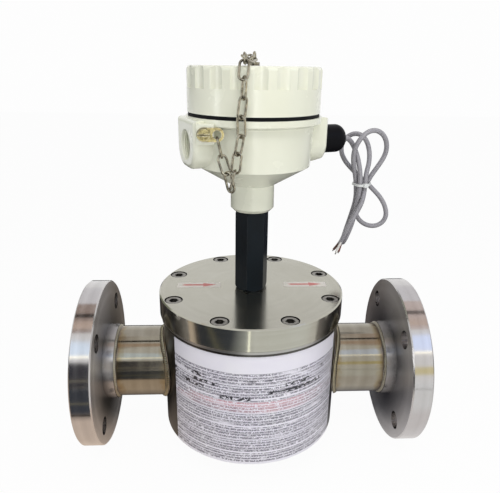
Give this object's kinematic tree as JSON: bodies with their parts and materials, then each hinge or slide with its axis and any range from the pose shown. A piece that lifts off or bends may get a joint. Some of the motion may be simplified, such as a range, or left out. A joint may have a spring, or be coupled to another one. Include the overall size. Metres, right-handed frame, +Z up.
{
  "type": "oval gear flow meter",
  "caption": "Flanged inline flow meter with meshing oval gears in a round casing and a terminal head on a standoff, with a tied signal cable.",
  "frame": {"origin": "centre of the inlet flange's raised face, on the pipe axis", "axes": "+X downstream along the pipe, +Y away from the labelled front, +Z up along the meter's axis"},
  "size_m": [0.356, 0.194, 0.4136],
  "materials": {
    "body_steel": "satin stainless casing with fine turning lines",
    "ground_steel": "ground and polished stainless plate",
    "pipe_steel": "satin stainless pipe",
    "flange_steel": "turned stainless flange",
    "weld_steel": "rippled weld bead",
    "screw_steel": "zinc-plated socket screws",
    "gear_steel": "machined steel",
    "bearing_carbon": "carbon bearing material",
    "black_standoff": "black semi-gloss",
    "ivory_paint": "ivory enamel on cast aluminium",
    "black_rubber": "moulded rubber",
    "black_plastic": "moulded nylon",
    "board_green": "circuit board",
    "cable_grey": "grey sheath",
    "tie_white": "white nylon",
    "core_red": "insulated cores",
    "brass_tab": "plain brass",
    "chain_steel": "dull plated wire",
    "label_paper": "printed film"
  },
  "bodies": {
    "meter": {"meter_body": "body_steel", "chamber_cover": "ground_steel", "cover_seal": "black_rubber", "cover_screws": "screw_steel", "gear_a_shaft": "gear_steel", "gear_b_shaft": "gear_steel", "thrust_washers": "bearing_carbon", "inlet_pipe": "pipe_steel", "outlet_pipe": "pipe_steel", "inlet_flange": "flange_steel", "outlet_flange": "flange_steel", "body_welds": "weld_steel", "flange_welds": "weld_steel", "hex_standoff": "black_standoff", "sensor_probe": "gear_steel", "housing": "ivory_paint", "lid_seal": "black_rubber", "terminal_board": "board_green", "terminal_block": "black_plastic", "board_screws": "screw_steel", "gland_body": "black_plastic", "gland_seal": "black_rubber", "gland_nut": "black_plastic", "cable_tail": "cable_grey", "signal_cable": "cable_grey", "cable_tie": "tie_white", "cable_cores": "core_red", "chain_tab": "brass_tab", "tab_screw": "brass_tab", "label": "label_paper"},
    "gear_a": {"oval_gear_a": "gear_steel", "gear_a_bush": "bearing_carbon", "gear_magnets": "gear_steel"},
    "gear_b": {"oval_gear_b": "gear_steel", "gear_b_bush": "bearing_carbon"},
    "chain_and_eye": {"lid_eye": "chain_steel", "retaining_chain": "chain_steel"},
    "lid": {"housing_lid": "ivory_paint"}
  },
  "joints": [
    {"name": "gear_a_turn", "type": "hinge", "parent": "meter", "child": "gear_a", "pos_m": [0.178, -0.03325, 0], "axis": [0, 0, 1], "continuous": true},
    {"name": "gear_b_turn", "type": "hinge", "parent": "meter", "child": "gear_b", "pos_m": [0.178, 0.03325, 0], "axis": [0, 0, 1], "continuous": true},
    {"name": "lid_lift", "type": "slide", "parent": "meter", "child": "chain_and_eye", "axis": [0, 0, 1], "range_m": [0, 0.0045]},
    {"name": "lid_turn", "type": "hinge", "parent": "chain_and_eye", "child": "lid", "pos_m": [0.178, 0, 0.29], "axis": [0, 0, 1], "range_deg": [0, 1080]}
  ],
  "couplings": [
    {"joint": "gear_b_turn", "follows": "gear_a_turn", "ratio": -1},
    {"joint": "lid_lift", "follows": "lid_turn", "m_per_rad": 0.00023873}
  ]
}
